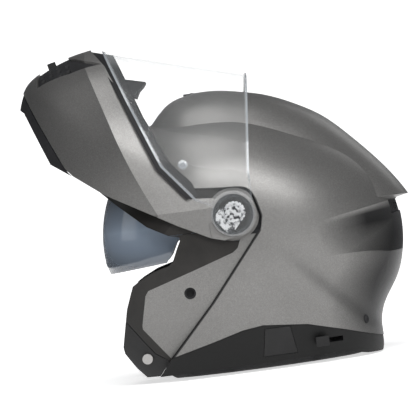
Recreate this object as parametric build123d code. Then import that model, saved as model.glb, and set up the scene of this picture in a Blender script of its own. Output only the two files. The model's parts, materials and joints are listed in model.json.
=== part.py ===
from build123d import *
from functools import cache
from math import acos, cos, hypot, pi, radians, sin
import os

# Flip-up (modular) motorcycle helmet, chin bar raised, visor seated on it, sun visor lowered.
# Frame: +X to the rear, -Y to the rider's left, +Z up. Everything is modelled about the chin
# bar's pivot line with the chin bar closed. place() stands it on z = 0 and raise_bar() lifts it.

# Driving sizes, mm
outline_unit = 100.0
shell_half_width = 121.5
shell_wall = 4.0
crest_half_width = 89.0
pivot_height = 146.0
pivot_setback = 9.0
recess_half_width = 116.0
recess_radius = 186.0
panel_wall = 3.0
body_gap = 0.6
seam_gap = 0.4
cut_overrun = 5.0
cut_reach = 300.0

# Outline powers of the nested rounded sections, and angles in degrees
body_power = 2.3
crest_power = 3.0
recess_power = 2.4
bar_power = 2.2
visor_power = 2.15
bar_lift = 77.0
visor_lean = 60.9

# Chin bar
bar_half_width = 122.5
bar_wall = 3.5
bar_hub_radius = 21.5
frame_wall = 3.0
liner_gap = 0.3

# Visor
visor_reach = 134.6
visor_half_width = 126.2
visor_wall = 2.2
visor_hub_radius = 19.8
hub_ring_width = 2.6
hub_ring_height = 2.8
visor_clearance = 0.35

# Sun visor, on its own pivot line a little behind and below the main one
sun_radius = 121.0
sun_half_width = 104.0
sun_wall = 1.8
sun_pivot_share = (-0.044, -0.186)
sun_slot = 1.4

# Lining
liner_half_width = 84.0
pad_gap = 0.4

# Side outlines: x to the rear and z up from the pivot, as shares of outline_unit.
# body_rim_shares is polar: angle in degrees and radius share.
body_rim_shares = (
    (357, 1.57), (344, 1.64), (331, 1.67), (323, 1.67), (317, 1.745), (312, 1.90), (300, 2.04),
    (285, 2.06), (270, 2.04), (243, 2.04), (229, 2.18), (216, 2.29), (205, 2.14), (199, 2.02),
    (180, 1.57), (158, 1.34), (140, 1.19), (122, 1.13), (105, 1.06), (88, 1.02), (70, 1.015),
    (52, 1.055), (36, 1.16), (20, 1.33), (8, 1.47),
)
bar_rim_shares = (
    (0, 1.70), (60, 1.60), (120, 1.66), (160, 1.87), (180, 1.97), (190, 2.0), (197.6, 2.02),
    (203, 2.10), (206, 2.15), (213.3, 2.255), (217, 2.29), (223, 2.25), (229, 2.18), (243, 2.04),
    (270, 2.04), (300, 1.95), (335, 1.80),
)
crest_top_shares = (
    (1.68, -0.022), (1.517, 0.23), (1.335, 0.45), (1.165, 0.632), (0.976, 0.808), (0.73, 0.959),
    (0.428, 1.089), (0.22, 1.14), (0.02, 1.176), (-0.138, 1.183), (-0.324, 1.159), (-0.485, 1.098),
    (-0.56, 1.03), (-0.648, 0.932),
)
crest_root_shares = (
    (-0.70, 0.60), (-0.60, -0.10), (0.0, -0.30), (1.0, -0.26), (1.477, -0.064),
)
brow_line_shares = ((-2.4, 1.035), (-1.17, 0.58), (-0.387, 0.291))
hub_curve_shares = ((0.007, 0.25), (0.172, 0.207), (0.215, 0.105), (0.248, -0.043))
seam_line_shares = ((0.215, -0.182), (-0.287, -0.78), (-0.729, -1.251), (-1.25, -1.87))
seam_start_slope = (0.95, -0.16)
seam_end_slope = (-0.64, -0.77)
opening_shares = (
    (-1.30, 0.46), (-1.045, 0.214), (-0.795, -0.015), (-0.60, -0.125), (-0.515, -0.14),
    (-0.512, -0.18), (-0.551, -0.252), (-0.595, -0.348), (-0.637, -0.391), (-0.789, -0.431),
    (-0.933, -0.498), (-0.996, -0.537), (-1.077, -0.737), (-1.164, -1.09), (-1.157, -1.152),
    (-1.068, -1.299), (-0.969, -1.416), (-0.911, -1.447), (-0.911, -2.4), (-3.0, -2.4),
    (-3.0, 0.46),
)
panel_shares = (
    (0.10, -0.20), (0.031, -0.241), (0.001, -0.31), (-0.046, -0.345), (-0.381, -0.45),
    (-0.859, -0.594), (-0.891, -0.638), (-0.957, -0.907), (-0.957, -0.939), (-0.737, -1.239),
    (-0.60, -1.60), (0.60, -1.60), (0.60, -0.20),
)
shell_hem_shares = (
    (-1.30, -1.36), (-0.737, -1.239), (-0.318, -1.134), (-0.048, -1.061), (0.139, -1.039),
    (0.545, -1.084), (0.886, -1.183), (1.244, -1.303), (1.60, -1.44),
)
skirt_foot_shares = (
    (-1.30, -1.40), (-0.911, -1.40), (0.84, -1.385), (1.082, -1.44), (1.24, -1.452), (1.60, -1.45),
)

bar_zone_shares = (
    (-2.4, -0.76), (-1.902, -0.705), (-1.70, -0.628), (-0.63, -0.487), (-0.27, -0.325),
    (-0.20, -0.12), (0.0, 0.0), (0.20, -0.08), (0.196, -0.154), (0.135, -0.263),
    (-0.072, -0.505), (-0.572, -1.033), (-0.84, -1.25), (-0.935, -1.297), (-1.40, -1.385),
    (-1.754, -1.445), (-1.87, -1.43), (-2.4, -1.43),
)
bar_hollow_shares = (
    (-2.4, -0.86), (-1.80, -0.74), (-0.80, -0.62), (-0.56, -0.66), (-0.74, -1.06),
    (-0.96, -1.20), (-1.40, -1.30), (-1.72, -1.36), (-2.4, -1.36),
)
cap_line_shares = ((0.002, -0.237), (0.171, -0.269))
edge_trim_shares = (
    (-0.845, -1.262), (-0.935, -1.303), (-1.40, -1.391), (-1.754, -1.452), (-1.90, -1.45),
    (-1.90, -1.565), (-1.657, -1.554), (-1.567, -1.493), (-1.019, -1.413), (-0.923, -1.33),
)
curtain_shares = (
    (-1.72, -1.46), (-1.40, -1.405), (-0.99, -1.325), (-0.98, -1.35), (-1.40, -1.435),
    (-1.70, -1.49),
)
frame_shares = (
    (-2.1, -0.80), (-1.86, -0.715), (-1.70, -0.648), (-0.63, -0.51), (-0.27, -0.345),
    (-0.27, -0.24), (-0.40, -0.25), (-0.63, -0.37), (-1.20, -0.475), (-1.70, -0.515),
    (-2.1, -0.56),
)
guard_shares = (
    (-1.80, -0.70), (-1.62, -0.56), (-1.55, -0.503), (-1.453, -0.326), (-1.425, -0.36),
    (-1.40, -0.41), (-1.345, -0.46), (-1.40, -0.53), (-1.55, -0.60), (-1.74, -0.76),
)
visor_zone_shares = (
    (0.0, 0.0), (-0.15, -0.18), (-0.24, -0.285), (-0.63, -0.467), (-1.30, -0.553),
    (-1.70, -0.595), (-2.4, -0.66), (-2.4, 1.03), (-0.341, 0.281), (-0.016, 0.197),
)
sun_zone_shares = (
    (0.0, -0.13), (-0.10, -0.25), (-0.46, -0.10), (-0.56, -0.21), (-0.612, -0.31),
    (-0.658, -0.364), (-1.178, -0.41), (-1.45, -0.435), (-1.45, 0.58), (-1.09, 0.42),
    (-0.78, 0.17), (-0.50, 0.0),
)

# Plan and front outlines: x or y across, shares of outline_unit
neck_outer_shares = (
    (1.18, 0.0), (1.10, 0.40), (0.86, 0.65), (0.45, 0.82), (0.0, 0.86), (-0.40, 0.78),
    (-0.72, 0.62), (-0.92, 0.35), (-0.98, 0.0),
)
neck_inner_shares = (
    (0.94, 0.0), (0.84, 0.28), (0.62, 0.45), (0.30, 0.57), (0.0, 0.60), (-0.35, 0.56),
    (-0.60, 0.45), (-0.76, 0.28), (-0.84, 0.0),
)
tunnel_front_shares = ((0.50, -1.70), (0.52, -1.10), (0.62, -0.60), (0.70, -0.20), (0.70, 0.40))
vent_front_shares = (
    (0.0, -0.935), (0.30, -0.90), (0.46, -0.80), (0.60, -0.65), (0.57, -0.95), (0.46, -1.29),
    (0.20, -1.25), (0.0, -1.24),
)
head_rim_shares = (
    (0, 1.16), (20, 1.09), (40, 0.90), (62, 0.73), (90, 0.66), (118, 0.72), (140, 0.88),
    (155, 1.01), (170, 1.09), (190, 1.18), (210, 1.34), (230, 1.58), (250, 1.72), (270, 1.76),
    (290, 1.70), (310, 1.56), (330, 1.30), (345, 1.20),
)


# Shaping helpers. Side outlines are (x, z) points in mm in the XZ plane.
def scaled(shares):
    return [(x * outline_unit, z * outline_unit) for x, z in shares]


def polar(shares):
    return [
        (r * outline_unit * cos(radians(a)), r * outline_unit * sin(radians(a))) for a, r in shares
    ]


def drawn_in(points, inset):
    return [(x * (1 - inset / hypot(x, z)), z * (1 - inset / hypot(x, z))) for x, z in points]


def joined(*curves):
    return Wire([edge for curve in curves for edge in curve.edges()])


def slab(points, inner=-cut_reach, outer=cut_reach):
    """Side outline carried across the helmet from y = inner to y = outer."""
    face = Plane.XZ * make_face(Polyline(*points, close=True))
    return extrude(Pos(0, outer, 0) * face, outer - inner)


def disc(radius, inner, outer, x=0.0, z=0.0):
    return extrude(Pos(x, outer, z) * (Plane.XZ * Circle(radius)), outer - inner)


def ring(radius, width, inner, outer, x=0.0, z=0.0):
    return disc(radius, inner, outer, x, z) - disc(radius - width, inner, outer, x, z)


def stations(count, least_share, power):
    """Section scales and half-width shares of a body whose sections shrink to its sides."""
    last = acos(least_share ** (power / 2))
    half = [(cos(last * i / count) ** (2 / power), sin(last * i / count) ** (2 / power))
            for i in range(count + 1)]
    return [(k, -s) for k, s in reversed(half)] + half[1:]


def closed_rim(points):
    """Smooth closed curve through the points, in three edges."""
    curve = Spline(*points, periodic=True)
    return Wire([curve.trim(i / 3, (i + 1) / 3) for i in range(3)])


def nested(rim, half_width, power, count=6, least_share=0.12):
    sections = [
        Pos(0, half_width * s, 0) * (Plane.XZ * make_face(scale(rim, by=k)))
        for k, s in stations(count, least_share, power)
    ]
    return loft(sections)


@cache
def body_form(inset=0.0):
    rim = closed_rim(drawn_in(polar(body_rim_shares), inset))
    return nested(rim, shell_half_width - inset, body_power)


@cache
def bar_form(inset=0.0):
    rim = closed_rim(drawn_in(polar(bar_rim_shares), inset))
    return nested(rim, bar_half_width - inset, bar_power)


@cache
def crest_form(inset=0.0):
    top = drawn_in(scaled(crest_top_shares), inset)
    root = drawn_in(scaled(crest_root_shares), inset)
    rim = joined(Spline(*top), Polyline(top[-1], *root, top[0]))
    return nested(rim, crest_half_width - inset, crest_power)


@cache
def spindle(inset=0.0, half_width=recess_half_width, radius=recess_radius, power=recess_power):
    """Round body about the pivot line: whatever turns about that line keeps clear of it."""
    steps = 10
    side = []
    for i in range(-steps, steps + 1):
        turn = pi / 2 * abs(i) / steps
        y = (half_width - inset) * sin(turn) ** (2 / power)
        side.append(((radius - inset) * cos(turn) ** (2 / power), y if i > 0 else -y))
    side[0] = (0.0, -(half_width - inset))
    side[-1] = (0.0, half_width - inset)
    face = make_face(joined(Spline(*side), Line(side[-1], side[0])))
    return revolve(face, Axis.Y, 360)


@cache
def visor_form(inset=0.0):
    """Straight tube of rounded section that the visor is a slice of."""
    steps = 6
    quarter = [(cos(pi / 2 * i / steps), sin(pi / 2 * i / steps)) for i in range(steps + 1)]
    reach, width = visor_reach - inset, visor_half_width - inset
    arc = [(reach * c ** (2 / visor_power), width * s ** (2 / visor_power)) for c, s in quarter]
    rim = arc[:-1] + [(-x, y) for x, y in reversed(arc)][:-1]
    rim += [(-x, -y) for x, y in arc][:-1] + [(x, -y) for x, y in reversed(arc)][:-1]
    lean = radians(visor_lean)
    plane = Plane((0, 0, 0), x_dir=(-sin(lean), 0, cos(lean)), z_dir=(cos(lean), 0, sin(lean)))
    face = plane * make_face(Spline(*rim, periodic=True))
    return extrude(face, cut_reach, both=True)


def left_half(shape):
    return shape & Pos(0, -cut_reach, 0) * Box(4 * cut_reach, 2 * cut_reach, 4 * cut_reach)


def right_of(shape):
    return mirror(shape, Plane.XZ)


def front_edge(back=0.0):
    """Brow line, curve round the hub and seam, moved back by some mm, closed off in front."""
    brow = scaled(brow_line_shares)
    hub = scaled(hub_curve_shares)
    seam = scaled(seam_line_shares)
    brow = [(x + back * 0.35, z + back) for x, z in brow]
    hub = [(x * (1 + back / hypot(x, z)), z * (1 + back / hypot(x, z))) for x, z in hub]
    seam = [(x + back * 0.77, z - back * 0.64) for x, z in seam]
    curve = Spline(brow[-1], *hub, seam[0], tangents=[seam_start_slope, seam_end_slope])
    front = -cut_reach
    edge = joined(
        Polyline(*brow),
        curve,
        Polyline(*seam, (seam[-1][0], front), (front, front), (front, brow[0][1]), brow[0]),
    )
    return extrude(Pos(0, cut_reach, 0) * (Plane.XZ * make_face(edge)), 2 * cut_reach)


def place(shape):
    return Pos(pivot_setback, 0, pivot_height) * shape


def raise_bar(shape):
    return Rot(0, bar_lift, 0) * shape


# Shell
brow_inset = 6.0
hub_panel_radius = 24.0
axle_radius = 5.0
running_fit = 0.05
plate_radius = 17.0
plate_wall = 3.0
socket_radius = 5.4
socket_share = (-0.482, -0.664)
trim_split_shares = ((-3.0, -0.12), (-0.10, -0.12), (-0.10, 2.0), (-3.0, 2.0))
cover_split_shares = (
    (-3.0, -0.72), (-1.20, -0.72), (-0.876, -1.184), (-0.70, -1.30), (-0.70, -3.0), (-3.0, -3.0),
)


@cache
def envelope(inset, recess_inset):
    """Outside of the helmet drawn in by inset, with the recess that the chin bar turns over."""
    form = body_form(inset) + crest_form(inset)
    kept = spindle(recess_inset) & visor_form(brow_inset + recess_inset)
    return form - (front_edge(recess_inset) - kept)


def below(shares, drop=0.0):
    """Everything under a line given from front to rear."""
    line = [(x, z - drop) for x, z in scaled(shares)]
    return slab([(-cut_reach, line[0][1]), *line, (cut_reach, line[-1][1]),
                 (cut_reach, -cut_reach), (-cut_reach, -cut_reach)])


@cache
def skin():
    wall = envelope(0.0, 0.0) - envelope(shell_wall, panel_wall)
    return wall - slab(scaled(opening_shares))


def outer_shell():
    panel = slab(scaled(panel_shares)) + disc(hub_panel_radius, -cut_reach, cut_reach)
    shell = (skin() - (front_edge() - panel)) - below(shell_hem_shares)
    shell -= disc(axle_radius + running_fit, -cut_reach, cut_reach)
    shell -= disc(socket_radius, -cut_reach, cut_reach, *scaled([socket_share])[0])
    return shell - top_vent_mouth() - extractor_pocket() - lever_slot()


def trims():
    """Black linings of the recess: round the eye port, beside it, and the lower front covers."""
    layer = (skin() & front_edge(-seam_gap)) - slab(scaled(panel_shares))
    layer -= disc(hub_panel_radius + seam_gap, -cut_reach, cut_reach)
    x, z, y = pin_place()
    layer -= disc(pin_radius + running_fit, -cut_reach, cut_reach, x, z) + below(skirt_foot_shares)
    layer -= both(disc(pin_head_radius + seam_gap, y + pin_stand / 2, cut_reach, x, z))
    upper = slab(scaled(trim_split_shares))
    cover = slab(scaled(cover_split_shares))
    port = largest(layer & upper)
    sides = layer - Pos(0, 0, -seam_gap) * upper - Pos(seam_gap, 0, seam_gap) * cover
    return port, largest(left_half(sides)), largest(left_half(layer & cover))


def largest(shape):
    return max(shape.solids(), key=lambda solid: solid.volume)


# Skirt round the bottom of the shell, and the cover in its left side
skirt_inset = 0.9
skirt_wall = 3.0
cover_shares = ((0.151, -1.08), (0.38, -1.08), (0.42, -1.33), (0.11, -1.33))
cover_gap = 0.4


def skirt_and_cover():
    band = body_form(skirt_inset) - body_form(skirt_inset + skirt_wall)
    band = (band & below(shell_hem_shares, seam_gap)) - below(skirt_foot_shares)
    band = largest(band - front_edge(-seam_gap))
    patch = slab(scaled(cover_shares), -cut_reach, 0.0)
    cover = left_half(band) & patch
    return band - inflate(cover_shares, cover_gap), largest(cover)


def inflate(shares, gap):
    """Left side slab of an outline grown by a gap about its middle."""
    points = scaled(shares)
    mid_x = sum(x for x, z in points) / len(points)
    mid_z = sum(z for x, z in points) / len(points)
    grown = [
        (x + gap * (1 if x > mid_x else -1), z + gap * (1 if z > mid_z else -1)) for x, z in points
    ]
    return slab(grown, -cut_reach, 0.0)


# Top vent: a slotted mouth in the front of the crest, and its slide in a pocket on top
vent_half_width = 26.0
vent_depth = 2.6
vent_sink = 0.8
vent_bars = 7
vent_mouth_shares = ((-0.60, 1.10), (-0.52, 1.14), (-0.44, 1.20), (-0.40, 1.06), (-0.52, 0.98))
slide_length = 16.0
slide_width = 9.0
slide_height = 2.2
slide_clearance = 0.3
slide_travel = 6.0
slide_top_share = (-0.20, 1.184)


def top_vent_mouth():
    mouth = slab(scaled(vent_mouth_shares), -vent_half_width, vent_half_width)
    return mouth - crest_form(vent_depth) - body_form(vent_depth)


def slide_pocket():
    (x, top), = scaled([slide_top_share])
    length = slide_length + slide_travel + 2 * slide_clearance
    return Pos(x, 0, top) * Box(
        length, slide_width + 2 * slide_clearance, 2 * (slide_height + slide_clearance))


def top_vent_slider():
    (x, top), = scaled([slide_top_share])
    plate = Pos(x - slide_travel / 2, 0, top - slide_height / 2) * Box(
        slide_length, slide_width, slide_height)
    grip = Pos(x - slide_travel / 2, 0, top) * Box(
        slide_height, slide_width * 0.7, slide_height / 2)
    return plate + grip


def top_vent_grille():
    mouth = slab(scaled(vent_mouth_shares), -vent_half_width, vent_half_width)
    floor = (crest_form(vent_sink) + body_form(vent_sink)) & mouth
    plate = floor - crest_form(vent_depth) - body_form(vent_depth)
    pitch = 2 * vent_half_width / vent_bars
    for i in range(vent_bars):
        y = pitch * (i - (vent_bars - 1) / 2)
        hole = slab(scaled(vent_mouth_shares), y - pitch * 0.36, y + pitch * 0.36)
        plate -= hole - crest_form((vent_sink + vent_depth) / 2) - body_form(vent_depth)
    return plate


# Rear extractor under the spoiler
extractor_half_width = 55.0
extractor_shares = ((1.40, -0.06), (1.72, -0.055), (1.72, -0.15), (1.40, -0.20))
extractor_sink = 1.2
extractor_bars = 9


def extractor_pocket(shrink=0.0):
    reach = extractor_half_width - shrink
    return slab(scaled(extractor_shares), -reach, reach)


def extractor_grille():
    plate = (body_form(extractor_sink) - body_form(shell_wall)) & extractor_pocket(seam_gap)
    pitch = 2 * extractor_half_width / extractor_bars
    bars = plate
    middle = [((x + 1.56) / 2, (z - 0.115) / 2) for x, z in extractor_shares]
    for i in range(extractor_bars):
        y = pitch * (i - (extractor_bars - 1) / 2)
        bars -= slab(scaled([(x * 1.0, z) for x, z in middle]), y - pitch * 0.38, y + pitch * 0.38)
    return bars


# Sun visor lever, sliding in a slot low in the left of the skirt
lever_travel = 16.0
lever_stem = 6.0
lever_height = 4.0
lever_knob = (12.0, 5.0, 9.0)
lever_share = (0.66, -1.26)
lever_depth = 0.940


def lever_slot():
    (x, z), = scaled([lever_share])
    length = lever_travel + lever_stem + 2 * slide_clearance
    return Pos(x + lever_travel / 2, -cut_reach / 2, z) * Box(
        length, cut_reach, lever_height + 2 * slide_clearance)


def sun_visor_lever():
    (x, z), = scaled([lever_share])
    y = -lever_depth * outline_unit
    stem = Pos(x, y, z) * Box(lever_stem, lever_knob[0], lever_height)
    knob = Pos(x, y - lever_knob[0] / 2, z) * Box(*lever_knob)
    return stem + fillet(knob.edges().filter_by(Axis.Y), lever_height / 4)


# Lining
lining_gap = 0.4
head_half_width = 84.0
head_power = 2.3
lining_foot_share = -1.19
pad_gap = 0.3
crown_pad_wall = 9.0
cheek_pad_wall = 20.0
roll_top_share = -1.20
strap_room_height = 4.4
cheek_shares = (
    (-0.84, -0.70), (-0.74, -0.50), (-0.45, -0.36), (-0.10, -0.33), (0.08, -0.50), (0.10, -0.80),
    (-0.05, -1.05), (-0.35, -1.14), (-0.66, -1.12), (-0.80, -0.98),
)


@cache
def head_form(inset=0.0):
    rim = closed_rim(drawn_in(polar(head_rim_shares), inset))
    return nested(rim, head_half_width - inset, head_power)


def sun_sweep():
    """Space that the sun visor turns through, with its slot and flat seats for its hubs."""
    (x, z), = scaled([sun_pivot_share])
    width = sun_half_width - sun_wall - sun_slot
    inner = Pos(x, 0, z) * spindle(0.0, width, sun_radius - sun_wall - sun_slot, sun_power)
    seat = disc(sun_hub_radius + sun_slot, width - sun_slot, cut_reach, x, z)
    return (slab(scaled(sun_sector_shares)) - inner) + both(seat)


def face_tunnel():
    """Way in for the face between the cheeks, narrower towards the chin."""
    half = scaled(tunnel_front_shares)
    face = make_face(Polyline(*half, *[(-y, z) for y, z in reversed(half)], close=True))
    tunnel = extrude(Plane.YZ * face, -2 * cut_reach)
    return tunnel & slab([(-cut_reach, -cut_reach), (0, -cut_reach), (0, cut_reach),
                          (-cut_reach, cut_reach)])


def strap_room():
    """Way along the foot of the liner for the straps and their anchors."""
    (y, z), (y_inner, z_inner), *rest = scaled(strap_shares)
    x = strap_place * outline_unit
    width, depth = strap_width + 2 * lining_gap, y - y_inner + 2 * anchor_radius
    return Pos(x, (y + y_inner) / 2, z) * Box(width, depth, 2 * strap_room_height)


def eps_liner():
    gap = shell_wall + lining_gap
    foot = lining_foot_share * outline_unit
    above = slab([(-cut_reach, foot), (cut_reach, foot), (cut_reach, cut_reach),
                  (-cut_reach, cut_reach)])
    block = envelope(gap, panel_wall + lining_gap) & above
    deep = slab([(-cut_reach, foot - cut_overrun), (cut_reach, foot - cut_overrun),
                 (cut_reach, cut_reach), (-cut_reach, cut_reach)])
    block -= (head_form() & deep) + face_tunnel()
    block -= slab(scaled(opening_shares)) + sun_sweep()
    plate = disc(plate_radius + lining_gap, recess_half_width - panel_wall - plate_wall
                 - lining_gap, cut_reach)
    x, z, y = pin_place()
    pin = disc(pin_radius + lining_gap, y - 2 * pin_root, cut_reach, x, z)
    x, z = scaled([socket_share])[0]
    plug = disc(socket_radius + lining_gap, recess_at(x, z) - 3 * panel_wall - lining_gap,
                cut_reach, x, z)
    x, z = scaled([sun_pivot_share])[0]
    sun_pin = disc(sun_pin_radius + running_fit, sun_half_width - 2 * sun_pin_sink, cut_reach, x, z)
    return largest(block - both(plate + pin + plug + sun_pin + strap_room()))


def crown_pad():
    cap = head_form(pad_gap) - head_form(crown_pad_wall)
    keep = slab(scaled([(-0.86, 0.20), (0.98, 0.02), (0.98, 1.2), (-0.86, 1.2)]))
    return largest(cap & keep)


def cheek_pad_left():
    wall = head_form(pad_gap) - head_form(cheek_pad_wall)
    rim = make_face(Spline(*scaled(cheek_shares), periodic=True))
    block = extrude(Plane.XZ * rim, cut_reach)
    return largest(wall & block)


def neck_roll():
    """Padded ring round the neck, open at the chin, flat where it stands."""
    top = roll_top_share * outline_unit
    heights = (-pivot_height, top - 18.0, top - 8.0, top)
    outer = [drawn_in_plan(neck_outer_shares, inset, z)
             for inset, z in zip((6.0, 1.0, 0.0, 2.0), heights)]
    inner = [drawn_in_plan(neck_inner_shares, -inset, z)
             for inset, z in zip((6.0, 1.0, 0.0, 2.0), heights)]
    roll = loft(outer) - loft(inner)
    mouth = Pos(-0.98 * outline_unit, 0, top) * Box(
        1.0 * outline_unit, neck_mouth, 2 * cut_reach)
    return roll - mouth


neck_mouth = 96.0


def drawn_in_plan(shares, inset, height):
    half = drawn_in(scaled(shares), inset)
    full = half + [(x, -y) for x, y in reversed(half[1:-1])]
    return Pos(0, 0, height) * make_face(Spline(*full, periodic=True))


# Sun visor
sun_power = 2.0
sun_hub_radius = 9.0
sun_pin_radius = 3.0
sun_range = 42.0
nose_radius = 26.0
nose_height_share = -0.56
sun_sector_shares = (
    (0.05, -0.186), (-0.08, 0.10), (-0.45, 1.35), (-1.6, 1.35), (-1.6, -0.75), (-0.60, -0.44),
    (-0.30, -0.33),
)


def sun_visor():
    (x, z), = scaled([sun_pivot_share])
    outer = Pos(x, 0, z) * spindle(0.0, sun_half_width, sun_radius, sun_power)
    inner = Pos(x, 0, z) * spindle(sun_wall, sun_half_width, sun_radius, sun_power)
    zone = slab(scaled(sun_zone_shares)) + disc(sun_hub_radius, -cut_reach, cut_reach, x, z)
    lens = (outer - inner) & zone
    nose = extrude(Plane.YZ * Pos(0, nose_height_share * outline_unit) * Circle(nose_radius),
                   -2 * cut_reach)
    lens -= nose
    return lens - disc(sun_pin_radius + running_fit, -cut_reach, cut_reach, x, z)


def sun_pins():
    """Pins in the lining that the sun visor's arms turn on."""
    (x, z), = scaled([sun_pivot_share])
    inner = sun_half_width - sun_wall - sun_slot - sun_pin_sink
    pin = disc(sun_pin_radius, inner, sun_half_width + sun_slot, x, z)
    head = disc(sun_pin_radius * 2, sun_half_width + pad_gap, sun_half_width + sun_slot, x, z)
    return pin + head


sun_pin_sink = 6.0

# Chin bar, drawn closed
bar_boss_outer = 121.8
bar_boss_inner = 116.7
pocket_radius = 18.6
pocket_depth = 2.0
pin_radius = 3.2
pin_head_radius = 4.8
pin_head_height = 1.6
pin_share = (-0.954, -1.221)
pin_stand = 4.3
pin_root = 6.0
channel_gap = 0.9
catch_length = 4.6
catch_thickness = 2.4
catch_width = 8.0
catch_travel = 4.2
catch_clearance = 0.25
cap_wall = 2.4
cap_shares = (
    (0.002, -0.237), (0.171, -0.269), (0.40, -0.30), (0.40, 0.02), (0.10, -0.02), (0.0, -0.15),
)
vent_sill = 2.0
grille_wall = 2.6
grille_rows = 4
grille_columns = 11
button_size = (11.0, 24.0, 8.0)
button_travel = 2.5
button_share = (-1.60, -1.425)
vent_tab_size = (4.0, 12.0, 8.0)
vent_tab_travel = 5.0
vent_tab_share = (-1.885, -1.08)
trim_inset = 1.0
trim_wall = 4.0
guard_half_width = 36.0
guard_reach = 62.0


def recess_at(x, z):
    """Half width of the recess surface over a point of the side view."""
    share = hypot(x, z) / recess_radius
    return recess_half_width * (1 - share ** recess_power) ** (1 / recess_power)


def pin_place():
    (x, z), = scaled([pin_share])
    return x, z, recess_at(x, z)


def pin_channel():
    """Way through the chin bar for the striker pin, open at the rear edge."""
    x, z, y = pin_place()
    radius = hypot(x, z)
    band = pin_head_radius + channel_gap
    way = ring(radius + band, 2 * band, y - 3 * pin_root, y + pin_stand + channel_gap)
    fore = (x * 1.02 - 0.06 * outline_unit, z * 1.02 + 0.04 * outline_unit)
    sector = slab([(0, 0), (fore[0] * 1.2, fore[1] * 1.2), (x * 1.6, z * 1.9), (x * 0.6, z * 2.4)])
    return way & sector


def catch_frame():
    """Plane at the catch behind the pin, with x across the pin's path."""
    x, z, y = pin_place()
    radius = hypot(x, z)
    along = (z / radius, -x / radius)
    offset = pin_radius + catch_clearance + catch_thickness / 2
    centre = (x - along[0] * offset, z - along[1] * offset)
    return Plane((centre[0], y + pin_stand + channel_gap, centre[1]),
                 x_dir=(x / radius, 0, z / radius), z_dir=(0, 1, 0))


def catch_pocket():
    gap = 2 * catch_clearance
    return catch_frame() * (Pos(0, 0, catch_length / 2) * Box(
        catch_width + gap, catch_thickness + gap, catch_length + gap))


def latch_catch():
    block = catch_frame() * (Pos(0, 0, catch_length / 2) * Box(
        catch_width, catch_thickness, catch_length))
    return block


def bar_cap_zone():
    zone = slab(scaled(cap_shares)) - disc(visor_hub_radius + seam_gap, -cut_reach, cut_reach)
    return zone - disc_core(bar_boss_outer - cap_wall)


def disc_core(half_width):
    """Everything between the two planes y = -half_width and y = half_width."""
    return Box(4 * cut_reach, 2 * half_width, 4 * cut_reach)


def both(shape):
    return shape + right_of(shape)


def vent_zone(shrink=0.0):
    half = [(y, z) for y, z in vent_front_shares]
    points = half + [(-y, z) for y, z in reversed(half[1:-1])]
    face = make_face(Polyline(*scaled(points), close=True))
    if shrink:
        face = offset(face, -shrink)
    return extrude(Plane.YZ * face, -cut_reach) & disc_front()


def disc_front():
    return Pos(-cut_reach - 1.2 * outline_unit, 0, 0) * Box(
        2 * cut_reach, 2 * cut_reach, 2 * cut_reach)


@cache
def bar_block():
    block = (bar_form() - spindle(-body_gap)) & slab(scaled(bar_zone_shares))
    block -= both(disc(bar_hub_radius + 1.0, bar_boss_outer, cut_reach))
    return block + both(disc(bar_hub_radius, bar_boss_inner, bar_boss_outer))


def chin_bar_shell():
    shell = bar_block() - (bar_form(bar_wall) & slab(scaled(bar_hollow_shares)))
    shell -= both(disc(pocket_radius, bar_boss_outer - pocket_depth, cut_reach))
    shell -= disc(axle_radius + running_fit, -cut_reach, cut_reach)
    shell -= bar_cap_zone() + vent_zone() + button_box(button_travel, catch_clearance)
    return largest(shell - both(pin_channel()) - both(catch_pocket()))


def pivot_cap():
    zone = slab(offset_shares(cap_shares, seam_gap)) - disc(
        visor_hub_radius + 2 * seam_gap, -cut_reach, cut_reach)
    zone -= disc_core(bar_boss_outer - cap_wall + running_fit)
    return largest(left_half(bar_block() & zone))


def offset_shares(shares, shrink):
    """Corner points of a side outline drawn in about its middle."""
    points = scaled(shares)
    mid_x = sum(x for x, z in points) / len(points)
    mid_z = sum(z for x, z in points) / len(points)
    return [
        (x - shrink * (x - mid_x) / hypot(x - mid_x, z - mid_z),
         z - shrink * (z - mid_z) / hypot(x - mid_x, z - mid_z)) for x, z in points
    ]


def chin_bar_liner():
    inset = bar_wall + liner_gap
    block = (bar_form(inset) - spindle(-body_gap)) & slab(
        offset_shares(bar_hollow_shares, liner_gap))
    clear = vent_zone() - bar_form(vent_sill + grille_wall + liner_gap)
    block -= clear + both(pin_channel()) + both(catch_pocket())
    block -= button_box(button_travel, catch_clearance) + vent_tab_room()
    return largest(block)


def chin_vent_grille():
    plate = (bar_form(vent_sill) - bar_form(vent_sill + grille_wall)) & vent_zone(seam_gap)
    pitch_y = 1.1 * outline_unit / grille_columns
    pitch_z = 0.34 * outline_unit / grille_rows
    for i in range(grille_columns):
        for j in range(grille_rows):
            y = pitch_y * (i - (grille_columns - 1) / 2)
            z = -1.09 * outline_unit + pitch_z * (j - (grille_rows - 1) / 2)
            hole = Pos(-cut_reach, y, z) * Box(2 * cut_reach, pitch_y * 0.66, pitch_z * 0.5)
            if abs(y) > vent_tab_size[1] or abs(z + 1.08 * outline_unit) > vent_tab_size[2] * 2:
                plate -= hole
    return largest(plate - vent_tab_slot())


def vent_tab_slot():
    (x, z), = scaled([vent_tab_share])
    return Pos(x, 0, z) * Box(10 * vent_tab_size[0], vent_tab_size[1] / 2 + 2 * catch_clearance,
                              vent_tab_size[2] + vent_tab_travel + 2 * catch_clearance)


def vent_tab_room():
    (x, z), = scaled([vent_tab_share])
    return Pos(x + 2 * vent_tab_size[0], 0, z) * Box(
        5 * vent_tab_size[0], vent_tab_size[1] * 1.5, vent_tab_size[2] * 1.5 + vent_tab_travel)


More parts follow.
